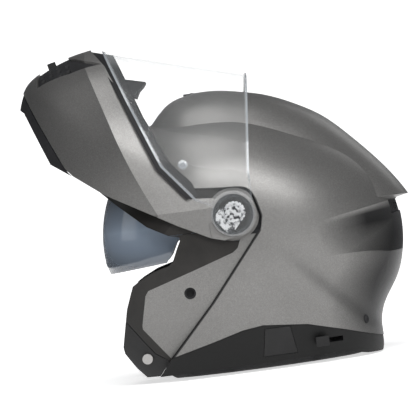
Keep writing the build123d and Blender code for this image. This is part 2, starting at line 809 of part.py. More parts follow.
def chin_vent_slider():
    (x, z), = scaled([vent_tab_share])
    down = z - vent_tab_travel / 2
    stem = Pos(x, 0, down) * Box(3 * vent_tab_size[0], vent_tab_size[1] / 2, vent_tab_size[2])
    plate = Pos(x + 1.5 * vent_tab_size[0], 0, down) * Box(
        vent_tab_size[0] / 2, vent_tab_size[1], vent_tab_size[2])
    return stem + plate


def chin_edge_trim():
    strip = (bar_form(trim_inset) - bar_form(trim_inset + trim_wall)) & slab(
        scaled(edge_trim_shares))
    clear = spindle(-body_gap) + button_box(button_travel, catch_clearance)
    return largest(strip - clear)


def chin_curtain():
    flap = (bar_form(trim_inset + trim_wall + pad_gap) - spindle(-body_gap)) & slab(
        scaled(curtain_shares))
    return largest(flap - button_box(button_travel, 4 * catch_clearance))


def chin_bar_frame():
    inset = visor_wall + visor_clearance
    strip = (visor_form(inset) - visor_form(inset + frame_wall)) & slab(scaled(frame_shares))
    strip -= spindle(-body_gap) + bar_block()
    return largest(strip)


def breath_guard():
    cup = extrude(Pos(-0.96 * outline_unit, 0, -1.2 * outline_unit) * Ellipse(
        guard_reach, guard_half_width), 1.4 * outline_unit)
    return largest((cup & slab(scaled(guard_shares))) - bar_block() - frame_core())


def frame_core():
    """Space behind the frame strip that the breath guard keeps out of."""
    inset = visor_wall + visor_clearance
    return visor_form(inset - 1.0) - visor_form(inset + frame_wall + pad_gap)


def button_box(extra, gap):
    (x, z), = scaled([button_share])
    length, width, height = button_size
    return Pos(x, 0, z - height / 2 + extra / 2) * Box(
        length + 2 * gap, width + 2 * gap, height + extra + 2 * gap)


def release_button():
    (x, z), = scaled([button_share])
    length, width, height = button_size
    block = Pos(x, 0, z - height / 2) * Box(length, width, height)
    return fillet(block.edges().filter_by(Axis.Z), length / 5)


# Visor mechanism in the chin bar's hub, drawn as it stands with the bar raised
ratchet_wall = 1.9
base_wall = 1.5
gear_radius = 10.2
gear_place = (1.3, 1.6)
gear_teeth = 18
tooth_depth = 1.3
boss_radius = 7.4
boss_stand = 3.0
wing_shares = ((-0.155, 0.02), (-0.10, 0.075), (0.06, 0.04), (0.075, -0.06), (0.0, -0.145),
               (-0.075, -0.158), (-0.165, -0.045))
wing_ribs = 4
screw_radius = 2.6
screw_head = 0.9
wing_screw_shares = ((-0.115, 0.01), (-0.035, -0.125))


def ratchet_base():
    floor = bar_boss_outer - pocket_depth + running_fit
    return disc(pocket_radius - seam_gap, floor, floor + base_wall)


def ratchet():
    """Toothed disc with a ribbed wing and two screws, and the boss that the visor turns on."""
    floor = bar_boss_outer - pocket_depth + 2 * running_fit + base_wall
    x0, z0 = gear_place
    gear = disc(gear_radius, floor, floor + ratchet_wall, x0, z0)
    for i in range(gear_teeth):
        turn = 2 * pi * i / gear_teeth
        notch = disc(tooth_depth * 0.6, floor - cut_overrun, floor + cut_overrun,
                     x0 + gear_radius * cos(turn), z0 + gear_radius * sin(turn))
        gear -= notch
    wing = slab(scaled(wing_shares), floor, floor + ratchet_wall * 0.7)
    for i in range(wing_ribs):
        share = (i + 1) / (wing_ribs + 1)
        rib = Pos(-0.09 * outline_unit + 7.0 * share, floor + ratchet_wall / 2,
                  -0.02 * outline_unit - 9.0 * share) * Rot(0, 50, 0) * Box(
            9.0, ratchet_wall, 0.8)
        wing += rib
    for x, z in scaled(wing_screw_shares):
        wing += disc(screw_radius, floor, floor + ratchet_wall * 0.7 + screw_head / 2, x, z)
    boss = disc(boss_radius, floor, floor + ratchet_wall + boss_stand)
    slot = Pos(0, floor + ratchet_wall + boss_stand, 0) * Rot(0, 40, 0) * Box(
        boss_radius * 1.2, boss_stand, boss_radius / 3)
    return gear + wing + boss - slot


# Visor
pinlock_share = (-0.579, -0.269)
pinlock_radius = 2.2
pinlock_head = 3.4


def visor():
    wall = visor_form() - visor_form(visor_wall)
    zone = slab(scaled(visor_zone_shares)) + disc(visor_hub_radius, -cut_reach, cut_reach)
    front = slab([(-cut_reach, -cut_reach), (0.30 * outline_unit, -cut_reach),
                  (0.30 * outline_unit, cut_reach), (-cut_reach, cut_reach)])
    pane = (wall & zone) & front
    face = visor_half_width - visor_wall
    rim = ring(visor_hub_radius, hub_ring_width, face, visor_half_width + hub_ring_height)
    pane += both(rim)
    pane -= disc(boss_radius + running_fit, -cut_reach, cut_reach)
    pane -= disc(pinlock_radius + running_fit, -cut_reach, cut_reach,
                 *scaled([pinlock_share])[0])
    return largest(pane)


def visor_at(x, z, inset):
    """Half width of the visor's surface over a point of the side view."""
    lean = radians(visor_lean)
    out = abs(-x * sin(lean) + z * cos(lean)) / (visor_reach - inset)
    return (visor_half_width - inset) * (1 - out ** visor_power) ** (1 / visor_power)


def pinlock_pins():
    (x, z), = scaled([pinlock_share])
    inner = visor_at(x, z, visor_wall)
    outer = visor_at(x, z, 0.0)
    pin = disc(pinlock_radius, inner - 2.0, outer + 1.0, x, z)
    pin += disc(pinlock_head, inner - 3.2, inner - 1.6, x, z)
    return both(pin)


# Metal on the shell
def pivot_plate():
    outer = recess_half_width - panel_wall - seam_gap / 2
    plate = disc(plate_radius, outer - plate_wall, outer)
    return plate + disc(axle_radius, outer - plate_wall, bar_boss_outer - pocket_depth)


def striker_pin():
    x, z, y = pin_place()
    stem = disc(pin_radius, y - pin_root, y + pin_stand, x, z)
    return stem + disc(pin_head_radius, y + pin_stand - pin_head_height, y + pin_stand, x, z)


def panel_plug():
    """Dark cup in the round hole of the recessed panel."""
    (x, z), = scaled([socket_share])
    y = recess_at(x, z)
    cup = disc(socket_radius - running_fit, y - 3 * panel_wall, y - panel_wall / 3, x, z)
    return cup - disc(socket_radius * 0.7, y - 2 * panel_wall, y + panel_wall, x, z)


# Chin strap with its ratchet buckle
strap_width = 22.0
strap_wall = 2.0
strap_shares = ((0.84, -1.172), (0.62, -1.172), (0.50, -1.235), (0.36, -1.31), (0.20, -1.345))
strap_leave = (-1.0, -0.12)
strap_place = -0.16
anchor_radius = 5.0
buckle_size = (26.0, 34.0, 2.0)
buckle_height_share = -1.375
buckle_wall = 8.0
lever_wall = 2.2
tongue_teeth = 8


def strap():
    top = scaled(strap_shares)
    foot = [(y, z - strap_wall) for y, z in top]
    ways = ((-1, 0), strap_leave)
    face = make_face(joined(
        Line(*top[:2]), Spline(*top[1:], tangents=ways), Line(top[-1], foot[-1]),
        Spline(*foot[1:], tangents=ways), Line(*foot[:2]), Line(foot[0], top[0])))
    x = strap_place * outline_unit
    return extrude(Pos(x - strap_width / 2, 0, 0) * (Plane.YZ * face), strap_width)


def strap_anchor():
    (y, z), *rest = scaled(strap_shares)
    x = strap_place * outline_unit
    stud = Pos(x, y - anchor_radius, z + strap_wall) * Cylinder(anchor_radius / 2, strap_wall * 2)
    washer = Pos(x, y - anchor_radius, z + strap_wall / 2 + running_fit) * Cylinder(
        anchor_radius, strap_wall / 2)
    return stud + washer


def buckle_body():
    length, reach, base = buckle_size
    x, z = strap_place * outline_unit, buckle_height_share * outline_unit
    floor = Pos(x, -base, z - base / 2) * Box(length, reach, base)
    wall = Pos(x + length / 2 - base / 2, -base - reach / 6, z + buckle_wall / 2) * Box(
        base, reach * 0.62, buckle_wall)
    return floor + wall + Pos(-length + base, 0, 0) * wall


def buckle_hinge():
    length, reach, base = buckle_size
    return (strap_place * outline_unit, -reach / 3 - base, buckle_height_share * outline_unit + 5.4)


def buckle_pin():
    length, reach, base = buckle_size
    return Pos(*buckle_hinge()) * Rot(0, 90, 0) * Cylinder(1.5, length - 2 * base)


def buckle_lever():
    length, reach, base = buckle_size
    x, y, z = buckle_hinge()
    width = length - 2 * base - 1.0
    plate = Pos(x, y + reach * 0.36, z + 0.6) * Box(width, reach * 0.8, lever_wall)
    knuckle = Pos(x, y, z) * Rot(0, 90, 0) * Cylinder(2.8, width)
    hole = Pos(x, y, z) * Rot(0, 90, 0) * Cylinder(1.5 + running_fit, length)
    return plate + knuckle - hole


def buckle_tongue():
    length, reach, base = buckle_size
    x, z = strap_place * outline_unit, buckle_height_share * outline_unit
    width = length - 2 * base - 2.0
    low = z + running_fit
    strip = Pos(x, reach * 0.18, low + strap_wall / 2) * Box(width, reach * 0.8, strap_wall)
    for i in range(tongue_teeth):
        notch = Pos(x, reach * (0.05 * i - 0.12), low + strap_wall) * Rot(45, 0, 0) * Box(
            width + 1, 0.8, 0.8)
        strip -= notch
    return strip


# Every piece, by node: on the shell, on the raised chin bar, and the visor mechanism
def shell_pieces():
    port, side, cover = trims()
    skirt, radio_cover = skirt_and_cover()
    skirt -= lever_slot()
    cheek = cheek_pad_left()
    return {
        "outer_shell": outer_shell() - slide_pocket(),
        "eyeport_trim": port,
        "side_trim_left": side,
        "side_trim_right": right_of(side),
        "lower_cover_left": cover,
        "lower_cover_right": right_of(cover),
        "bottom_skirt": skirt,
        "intercom_cover": radio_cover,
        "top_vent_grille": top_vent_grille(),
        "top_vent_slider": top_vent_slider(),
        "extractor_grille": extractor_grille(),
        "eps_liner": eps_liner(),
        "crown_pad": crown_pad(),
        "cheek_pad_left": cheek,
        "cheek_pad_right": right_of(cheek),
        "neck_roll": neck_roll(),
        "pivot_plate_left": right_of(pivot_plate()),
        "pivot_plate_right": pivot_plate(),
        "striker_pins": both(striker_pin()),
        "panel_plugs": both(panel_plug()),
        "sun_visor": sun_visor(),
        "sun_visor_pins": both(sun_pins()),
        "sun_visor_lever": sun_visor_lever(),
        "chin_strap_left": right_of(strap()),
        "chin_strap_right": strap(),
        "strap_anchors": both(strap_anchor()),
        "buckle_body": buckle_body(),
        "buckle_pin": buckle_pin(),
        "buckle_lever": buckle_lever(),
        "buckle_tongue": buckle_tongue(),
    }


def bar_pieces():
    cap = pivot_cap()
    return {
        "chin_bar_shell": chin_bar_shell(),
        "chin_bar_liner": chin_bar_liner(),
        "chin_bar_frame": chin_bar_frame(),
        "chin_edge_trim": chin_edge_trim(),
        "chin_curtain": chin_curtain(),
        "chin_vent_grille": chin_vent_grille(),
        "chin_vent_slider": chin_vent_slider(),
        "breath_guard": breath_guard(),
        "pivot_cap_left": cap,
        "pivot_cap_right": right_of(cap),
        "release_button": release_button(),
        "latch_catch_left": right_of(latch_catch()),
        "latch_catch_right": latch_catch(),
        "visor": visor(),
        "pinlock_pins": pinlock_pins(),
    }


def hub_pieces():
    return {
        "ratchet_base_left": right_of(ratchet_base()),
        "ratchet_base_right": ratchet_base(),
        "ratchet_left": right_of(ratchet()),
        "ratchet_right": ratchet(),
    }


def main():
    os.makedirs("parts", exist_ok=True)
    pieces = shell_pieces() | hub_pieces()
    pieces |= {name: raise_bar(shape) for name, shape in bar_pieces().items()}
    for name, shape in pieces.items():
        export_step(place(shape), f"parts/{name}.step")


main()
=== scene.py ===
"""Flip-up motorcycle helmet: finishes, padded lining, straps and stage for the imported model."""

import json
import math

import bmesh
import bpy
from bpy.props import FloatProperty, FloatVectorProperty, PointerProperty
from bpy.types import Operator, Panel, PropertyGroup
from mathutils import Matrix, Vector


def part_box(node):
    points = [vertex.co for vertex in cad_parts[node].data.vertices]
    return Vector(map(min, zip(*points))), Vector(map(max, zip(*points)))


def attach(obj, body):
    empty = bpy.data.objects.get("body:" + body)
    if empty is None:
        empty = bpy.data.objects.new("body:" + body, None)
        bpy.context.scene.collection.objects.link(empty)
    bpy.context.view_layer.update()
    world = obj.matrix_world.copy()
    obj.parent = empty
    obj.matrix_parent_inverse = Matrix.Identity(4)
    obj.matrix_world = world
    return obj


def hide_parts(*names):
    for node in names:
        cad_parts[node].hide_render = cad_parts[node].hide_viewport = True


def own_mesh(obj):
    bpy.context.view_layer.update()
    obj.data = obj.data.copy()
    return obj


bl_info = {
    "name": "Flip-up helmet",
    "version": (1, 0, 0),
    "blender": (4, 5, 0),
    "location": "3D View > Sidebar > Helmet",
    "description": "Finishes, lining, straps and studio for a flip-up motorcycle helmet",
    "category": "Object",
}

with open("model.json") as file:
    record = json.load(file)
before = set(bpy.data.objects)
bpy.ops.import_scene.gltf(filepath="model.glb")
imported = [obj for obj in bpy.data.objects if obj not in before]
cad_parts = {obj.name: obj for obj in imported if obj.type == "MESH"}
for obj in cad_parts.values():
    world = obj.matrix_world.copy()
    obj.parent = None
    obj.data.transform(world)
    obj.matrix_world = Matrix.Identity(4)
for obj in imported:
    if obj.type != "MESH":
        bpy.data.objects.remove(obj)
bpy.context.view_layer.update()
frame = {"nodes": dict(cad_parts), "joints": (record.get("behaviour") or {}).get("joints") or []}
PIVOT = Vector(next(j["pos_m"] for j in frame["joints"] if j["name"] == "chin_bar_pivot"))
SIDES = (("left", -1.0), ("right", 1.0))
WHITE = (1.0, 1.0, 1.0)
EVEN = (1.0, 1.0, 1.0)

# Lines drawn in the paint. These three give x at a height z.
BAR_CREASE = ((0.1542, -0.0590), (0.2099, -0.0822), (0.2599, -0.0975), (0.2979, -0.1087))
REAR_EDGE = ((0.0200, 0.1480), (0.0460, 0.1420), (0.1000, 0.1660), (0.1350, 0.1730))
HUB_SEAM = ((0.0209, -0.0639), (0.0680, -0.0197), (0.1278, 0.0305), (0.1417, 0.0338),
            (0.1565, 0.0305), (0.1667, 0.0262))
# These two give z at a place x.
SHELL_CREASE = ((0.0850, 0.1290), (0.1200, 0.1345), (0.1549, 0.1399))
FOOT_CREASE = ((0.0230, 0.0857), (0.1059, 0.0966), (0.1486, 0.0928))
# How much the paint turns away ahead of the bar's crease and behind it
BAR_TURNS = (0.5, 0.24)
# Depth of the bow between the shell's two creases, and the length over which it begins
BAND_BOW = -0.016
BAND_START = 0.045
# How far ahead of REAR_EDGE the painted shade at the rear begins and is deepest, and the heights
# between which it ends under the spoiler
REAR_SHADE = (-0.058, -0.014)
SPOILER_SHADE = (0.126, 0.140)
# Half width of the dark joint, how far out it has faded away, and its fade at the two ends
SEAM_HALF_WIDTH = 0.0009
SEAM_FADED = 0.0020
SEAM_FOOT_FADE = 0.002
SEAM_TOP_FADE = 0.003
# Share of the clear visor's edges that shows round the hub, and the radii between which it rises
HUB_EDGE_SHARE = 0.22
HUB_RING = (0.030, 0.042)
# Middle of the screw cover at the rear of each flank, as x and z, and a y well outside the shell
REAR_PLUG = (0.1185, 0.0336)
OUTSIDE = 0.3

WARM_BLACK = (0.012, 0.011, 0.010)
SKIRT_BLACK = (0.002, 0.002, 0.002)
VENT_BLACK = (0.013, 0.013, 0.014)
MECHANISM_BLACK = (0.003, 0.003, 0.003)
PIN_STEEL = (0.42, 0.41, 0.40)
PLATE_STEEL = (0.50, 0.50, 0.50)
BRUSHED = (0.06, 1.0, 1.0)
BEAD = 0.0042
# Width of a band of the wave texture at a scale of 1
WAVE_BAND = 0.314

# Points of a solid that are closer than this are one point
WELD = 0.00002
FILL_FRAMES = 16
# Sewn channels of the crown pad: beside its middle line, and across it
CROWN_SIDE_SEAM = 0.046
CROWN_CROSS_SEAMS = (-0.052, 0.0, 0.052)
# Sewn channels of a cheek pad: the slope of the long one, and how far back the short one is
CHEEK_SEAM_SLOPE = 0.25
CHEEK_CROSS_SEAM = 0.018
# Seams of the neck ring, as angles from the rear, and the foot that they leave smooth
NECK_SEAMS = (0.0, 1.05, 2.0, -1.05, -2.0)
NECK_FOOT = 0.004
# Slack of the chin curtain: its height, and the lengths that its waves come from
SLACK_HEIGHT = 0.0006
SLACK_ACROSS = 0.009
SLACK_DOWN = 0.02


def color_setting(name, description, default):
    """A colour that a user can change."""
    return FloatVectorProperty(name=name, description=description, subtype="COLOR", size=3,
                               default=default, min=0.0, max=1.0)


def share_setting(name, description, default):
    """A share from 0 to 1 that a user can change."""
    return FloatProperty(name=name, description=description, default=default, min=0.0, max=1.0,
                         subtype="FACTOR")


def length_setting(name, description, default, low, high):
    """A length in metres that a user can change."""
    return FloatProperty(name=name, description=description, default=default, min=low, max=high,
                         unit="LENGTH")


class HelmetFinishSettings(PropertyGroup):
    """Colours and gloss of the hard pieces."""

    paint_color: color_setting("Paint", "Grey of the metallic paint", (0.168, 0.165, 0.160))
    paint_flake_color: color_setting(
        "Paint flake", "Grey of the bright flakes in the paint", (0.245, 0.242, 0.236))
    paint_roughness: share_setting("Paint roughness", "How satin the paint is", 0.40)
    flake_size: length_setting("Flake size", "Width of a flake in the paint", 0.00035, 0.0001, 0.01)
    trim_color: color_setting("Trim", "Satin black of the mouldings", (0.009, 0.0088, 0.009))
    trim_grain: length_setting(
        "Trim grain", "Width of the grain on the black mouldings", 0.0011, 0.0002, 0.01)
    rubber_color: color_setting("Rubber", "Matt black of the rubber edges", (0.007, 0.007, 0.008))
    plug_radius: length_setting(
        "Plug radius", "Radius of the screw covers at the rear", 0.0042, 0.001, 0.02)
    plug_height: length_setting(
        "Plug height", "How far the screw covers stand out", 0.0009, 0.0002, 0.005)
    chrome_color: color_setting(
        "Chrome", "Bright metal of the visor mechanism", (0.70, 0.71, 0.72))


class HelmetVisorSettings(PropertyGroup):
    """The clear visor and the smoked sun visor."""

    clear_color: color_setting("Clear tint", "Tint of the clear visor", (0.90, 0.93, 0.94))
    clear_face: share_setting("Face", "How much of the clear visor's face shows", 0.03)
    clear_rim: share_setting(
        "Rim", "How much of the clear visor shows where it turns away", 0.34)
    clear_edge: share_setting("Edge", "How much of the clear visor's cut edges shows", 0.9)
    edge_color: color_setting(
        "Edge tint", "Grey of the clear visor's cut edges", (0.30, 0.32, 0.34))
    smoke_color: color_setting("Smoke", "Tint of the sun visor", (0.105, 0.128, 0.160))
    smoke_density: share_setting("Density", "How dark the top of the sun visor is", 0.93)


class HelmetLiningSettings(PropertyGroup):
    """The pads, the foam and the straps."""

    cloth_color: color_setting("Cloth", "Navy black of the padding's cloth", (0.018, 0.020, 0.030))
    mesh_color: color_setting(
        "Mesh cloth", "Charcoal of the airy cloth on the crown", (0.030, 0.031, 0.036))
    leather_color: color_setting(
        "Edging", "Black of the smooth cloth round the neck ring", (0.009, 0.009, 0.011))
    foam_color: color_setting("Foam", "Black of the bead foam", (0.016, 0.016, 0.018))
    webbing_color: color_setting("Webbing", "Black of the strap", (0.013, 0.013, 0.015))
    weave_pitch: length_setting(
        "Weave", "Width of one thread pair in the cloth", 0.0016, 0.0003, 0.01)
    pad_voxel: length_setting(
        "Pad grid", "Grid that the pads are rebuilt on before they swell", 0.0045, 0.003, 0.01)
    pad_swell: length_setting(
        "Pad swell", "Most that a point of a pad moves while it fills out", 0.006, 0.0, 0.02)
    seam_depth: length_setting(
        "Seam depth", "Depth of the sewn channels in the pads", 0.0035, 0.0, 0.01)
    seam_width: length_setting(
        "Seam width", "Width of the sewn channels in the pads", 0.0085, 0.001, 0.03)


class HelmetStageSettings(PropertyGroup):
    """Camera, floor and lamps."""

    tilt: FloatProperty(
        name="Tilt", description="Roll of the camera that lays the helmet nose down",
        default=math.radians(7.64), subtype="ANGLE")
    view_width: length_setting(
        "View width", "Width that the camera sees at the middle of the helmet", 0.399, 0.1, 2.0)
    camera_distance: length_setting(
        "Camera distance", "From the camera to the middle of the helmet", 2.6, 1.0, 10.0)
    backdrop: color_setting(
        "Backdrop", "Colour of the floor and of what stands round it", (0.93, 0.93, 0.93))
    floor_glow: FloatProperty(
        name="Floor white", description="White that the floor shows in view without lighting",
        default=0.62, min=0.0, max=1.0)
    surround: FloatProperty(
        name="Surround", description="Light from all round", default=0.10, min=0.0, max=2.0)
    key_power: FloatProperty(
        name="Key", description="Power of the large lamp overhead", default=27.0, min=0.0)
    fill_power: FloatProperty(
        name="Fill", description="Power of the lamp beside the camera", default=6.0, min=0.0)


# Materials
def toned(color, share):
    """A colour made darker or paler by a share."""
    return tuple(channel * share for channel in color)


class Finish:
    """A material, with short ways to add the nodes of its procedural look."""

    def __init__(self, name):
        self.material = bpy.data.materials.new(name)
        self.material.use_nodes = True
        self.nodes = self.material.node_tree.nodes
        self.links = self.material.node_tree.links
        self.shader = self.nodes["Principled BSDF"]

    def plain(self, numbers):
        """Sets what is the same all over the surface on the shader's own sockets."""
        for socket, number in numbers.items():
            self.shader.inputs[socket].default_value = number

    def feed(self, socket, value):
        """Gives the shader a value that varies over the surface."""
        self.links.new(value, self.shader.inputs[socket])

    def add(self, kind, numbers, links):
        """A new node with numbers set on some sockets and values linked to others."""
        node = self.nodes.new(kind)
        for socket, number in numbers.items():
            node.inputs[socket].default_value = number
        for socket, value in links.items():
            self.links.new(value, node.inputs[socket])
        return node

    def place(self, stretch=EVEN):
        """Place on the piece in metres, so that grain and weave keep their real size."""
        place = self.nodes.new("ShaderNodeTexCoord").outputs["Object"]
        scale = self.add("ShaderNodeMapping", {"Scale": stretch}, {"Vector": place})
        return scale.outputs["Vector"]

    def axes(self, place):
        """The three coordinates of a place."""
        return self.add("ShaderNodeSeparateXYZ", {}, {"Vector": place}).outputs

    def noise(self, place, pitch, detail=2.0, rough=0.5):
        """Soft clouds about as wide as the pitch."""
        numbers = {"Scale": 1.0 / pitch, "Detail": detail, "Roughness": rough}
        return self.add("ShaderNodeTexNoise", numbers, {"Vector": place}).outputs["Fac"]

    def cells(self, place, pitch, feature="F1", output="Distance"):
        """Uneven cells about as wide as the pitch."""
        texture = self.add("ShaderNodeTexVoronoi", {"Scale": 1.0 / pitch}, {"Vector": place})
        texture.feature = feature
        return texture.outputs[output]

    def speckles(self, place, pitch):
        """Three unlike shades for every cell of a fine mosaic."""
        shades = self.cells(place, pitch, output="Color")
        return self.add("ShaderNodeSeparateColor", {}, {"Color": shades}).outputs

    def spread(self, value, low, high, from_low=0.0, from_high=1.0):
        """The value moved from one range to another."""
        numbers = {"From Min": from_low, "From Max": from_high, "To Min": low, "To Max": high}
        return self.add("ShaderNodeMapRange", numbers, {"Value": value}).outputs["Result"]

    def two_tone(self, value, dark, light, dark_at=0.0, light_at=1.0):
        """Runs from one colour to another as the value rises."""
        ramp = self.add("ShaderNodeValToRGB", {}, {"Fac": value})
        for stop, color, share in zip(ramp.color_ramp.elements, (dark, light), (dark_at, light_at)):
            stop.position = share
            stop.color = (*color, 1.0)
        return ramp.outputs["Color"]

    def multiplied(self, one, two):
        """One colour multiplied by another."""
        mix = self.nodes.new("ShaderNodeMix")
        mix.data_type = "RGBA"
        mix.blend_type = "MULTIPLY"
        mix.inputs["Factor"].default_value = 1.0
        self.links.new(one, mix.inputs["A"])
        self.links.new(two, mix.inputs["B"])
        return mix.outputs["Result"]

    def calc(self, kind, first, *others):
        """A sum, product or limit of values, each a socket or a number, two at a time."""
        for other in others:
            step = self.nodes.new("ShaderNodeMath")
            step.operation = kind
            for socket, value in zip(step.inputs, (first, other)):
                if isinstance(value, (int, float)):
                    socket.default_value = value
                else:
                    self.links.new(value, socket)
            first = step.outputs["Value"]
        return first

    def distance(self, place, point):
        """How far a place is from a point."""
        reach = self.nodes.new("ShaderNodeVectorMath")
        reach.operation = "DISTANCE"
        reach.inputs[1].default_value = point
        self.links.new(place, reach.inputs[0])
        return reach.outputs["Value"]

    def drawn_line(self, along, points, straight=False):
        """Second coordinate of a line through points, read at the first coordinate."""
        firsts, seconds = zip(*points)
        low, high = min(seconds), max(seconds)
        length = firsts[-1] - firsts[0]
        shares = [((a - firsts[0]) / length, (b - low) / (high - low)) for a, b in points]
        reading = self.spread(along, 0.0, 1.0, firsts[0], firsts[-1])
        curve = self.add("ShaderNodeFloatCurve", {}, {"Value": reading})
        stops = curve.mapping.curves[0].points
        stops[0].location, stops[-1].location = shares[0], shares[-1]
        for share in shares[1:-1]:
            stops.new(*share)
        for stop in stops:
            stop.handle_type = "VECTOR" if straight else "AUTO"
        curve.mapping.update()
        return self.spread(curve.outputs["Value"], low, high)

    def relief(self, height, strength, distance, below=None):
        """Bumps the surface, on top of the bumps that are already there."""
        bump = self.add("ShaderNodeBump", {"Strength": strength, "Distance": distance},
                        {"Height": height})
        if below is not None:
            self.links.new(below, bump.inputs["Normal"])
        self.feed("Normal", bump.outputs["Normal"])
        return bump.outputs["Normal"]

    def sheet_edge(self, reach=0.0045):
        """1 close to the cut edges of a sheet, 0 on the rest of its faces."""
        rounded = self.add("ShaderNodeBevel", {"Radius": reach}, {})
        rounded.samples = 6
        true = self.nodes.new("ShaderNodeNewGeometry")
        lean = self.nodes.new("ShaderNodeVectorMath")
        lean.operation = "DOT_PRODUCT"
        self.links.new(rounded.outputs["Normal"], lean.inputs[0])
        self.links.new(true.outputs["Normal"], lean.inputs[1])
        return self.spread(lean.outputs["Value"], 1.0, 0.0, from_low=0.93, from_high=0.998)

    def woven(self, place, pitch, around):
        """Height of a plain weave: two sets of threads crossing."""
        waves = []
        for axis in around:
            numbers = {"Scale": WAVE_BAND / pitch, "Distortion": 0.4, "Detail": 1.0}
            wave = self.add("ShaderNodeTexWave", numbers, {"Vector": place})
            wave.wave_type = "BANDS"
            wave.bands_direction = axis
            waves.append(wave.outputs["Fac"])
        return self.calc("MULTIPLY", *waves)


def bar_crease(paint, x, z):
    """Crease down the chin bar's flank: the paint turns away on both sides, with no shade."""
    past = paint.calc("SUBTRACT", x, paint.drawn_line(z, BAR_CREASE))
    ahead = paint.calc("MULTIPLY", paint.calc("MINIMUM", past, 0.0), BAR_TURNS[0])
    behind = paint.calc("MULTIPLY", paint.calc("MAXIMUM", past, 0.0), BAR_TURNS[1])
    return paint.calc("SUBTRACT", ahead, behind), None


def shell_creases(paint, x, z):
    """Relief and painted shade of the shell: painted shade in the band behind the hub and at the
    rear edge, and the dark joint.
    """
    top = paint.drawn_line(x, SHELL_CREASE)
    foot = paint.drawn_line(x, FOOT_CREASE)
    below = paint.calc("SUBTRACT", z, top)
    depth = paint.calc("SUBTRACT", foot, top)
    band = paint.spread(paint.calc("DIVIDE", below, depth), 0.0, 1.0)
    rest = paint.calc("SUBTRACT", 1.0, band)
    start = SHELL_CREASE[0][0]
    begin = paint.spread(x, 0.0, 1.0, from_low=start, from_high=start + BAND_START)
    bow = paint.calc("MULTIPLY", band, rest, begin, BAND_BOW)
    upper = paint.spread(band, 0.0, 1.0, from_low=0.0, from_high=0.14)
    lower = paint.spread(band, 1.0, 0.0, from_low=0.35, from_high=1.0)
    # Painted shade in the band between the two creases, where the shell is tucked in
    band_painted_shade = paint.calc("MULTIPLY", upper, lower, begin)
    shade = paint.calc("MAXIMUM", band_painted_shade, rear_shade(paint, x, z), seam_shade(paint, x, z))
    return bow, shade


def rear_shade(paint, x, z):
    """Painted shade on the shell where it turns away at the rear, below the spoiler."""
    past = paint.calc("SUBTRACT", x, paint.drawn_line(z, REAR_EDGE))
    turned = paint.spread(past, 0.0, 0.97, *REAR_SHADE)
    under = paint.spread(z, 1.0, 0.0, *SPOILER_SHADE)
    return paint.calc("MULTIPLY", turned, under)


def seam_shade(paint, x, z):
    """Dark joint that runs round the hub's recess and down behind the cheek panel."""
    off = paint.calc("SUBTRACT", x, paint.drawn_line(z, HUB_SEAM, straight=True))
    away = paint.calc("MAXIMUM", off, paint.calc("MULTIPLY", off, -1.0))
    line = paint.spread(away, 0.92, 0.0, SEAM_HALF_WIDTH, SEAM_FADED)
    foot, top = HUB_SEAM[0][0], HUB_SEAM[-1][0]
    above = paint.spread(z, 0.0, 1.0, foot, foot + SEAM_FOOT_FADE)
    under = paint.spread(z, 1.0, 0.0, top - SEAM_TOP_FADE, top)
    return paint.calc("MULTIPLY", line, above, under)


def paint_finish(look, name, creases=None):
    """Satin metallic paint: flakes of two sizes under a thin coat with a slight orange peel."""
    paint = Finish(name)
    place = paint.place()
    flakes = paint.speckles(place, look.flake_size)
    cloud = paint.noise(place, pitch=0.05, detail=3.0)
    fine = paint.two_tone(flakes["Red"], look.paint_color, look.paint_flake_color, dark_at=0.35)
    broad = paint.two_tone(cloud, (0.94, 0.94, 0.94), WHITE, dark_at=0.35, light_at=0.65)
    color = paint.multiplied(fine, broad)
    paint.plain({"Metallic": 0.62, "Coat Weight": 0.06, "Coat Roughness": 0.34,
                 "Specular IOR Level": 0.2})
    satin = look.paint_roughness
    paint.feed("Roughness", paint.spread(flakes["Green"], satin - 0.05, satin + 0.06))
    grain = paint.relief(flakes["Blue"], strength=0.10, distance=0.00006)
    bumps = paint.noise(place, pitch=0.0035, detail=1.0)
    peel = paint.relief(bumps, strength=0.06, distance=0.0002, below=grain)
    if creases is not None:
        axes = paint.axes(place)
        height, shade = creases(paint, axes["X"], axes["Z"])
        paint.relief(height, strength=1.0, distance=1.0, below=peel)
        if shade is not None:
            # Darkens the base colour with the painted shade that the creases give
            color = paint.multiplied(color, paint.two_tone(shade, WHITE, (0.05, 0.05, 0.055)))
    paint.feed("Base Color", color)
    return paint.material


def trim_finish(look, name, color, roughness):
    """Moulded black plastic with an etched grain, duller where hands rub it."""
    trim = Finish(name)
    place = trim.place()
    rub = trim.noise(place, pitch=0.028, detail=4.0, rough=0.6)
    rubbed = [channel * 1.6 + 0.001 for channel in color]
    trim.feed("Base Color", trim.two_tone(rub, color, rubbed, dark_at=0.4, light_at=0.75))
    trim.feed("Roughness", trim.spread(rub, roughness - 0.05, roughness + 0.1))
    trim.plain({"Specular IOR Level": 0.28})
    trim.relief(trim.cells(place, look.trim_grain, "SMOOTH_F1"), strength=0.16, distance=0.00012)
    return trim.material


def rubber_finish(look):
    """Matt rubber, greyed by fine dust."""
    rubber = Finish("matt_black_rubber")
    place = rubber.place()
    dust = rubber.noise(place, pitch=0.012, detail=5.0, rough=0.65)
    dusty = toned(look.rubber_color, 2.2)
    tone = rubber.two_tone(dust, look.rubber_color, dusty, dark_at=0.45, light_at=0.9)
    rubber.feed("Base Color", tone)
    rubber.feed("Roughness", rubber.spread(dust, 0.55, 0.8))
    rubber.plain({"Specular IOR Level": 0.35})
    rubber.relief(rubber.noise(place, pitch=0.0009), strength=0.2, distance=0.0001)
    return rubber.material


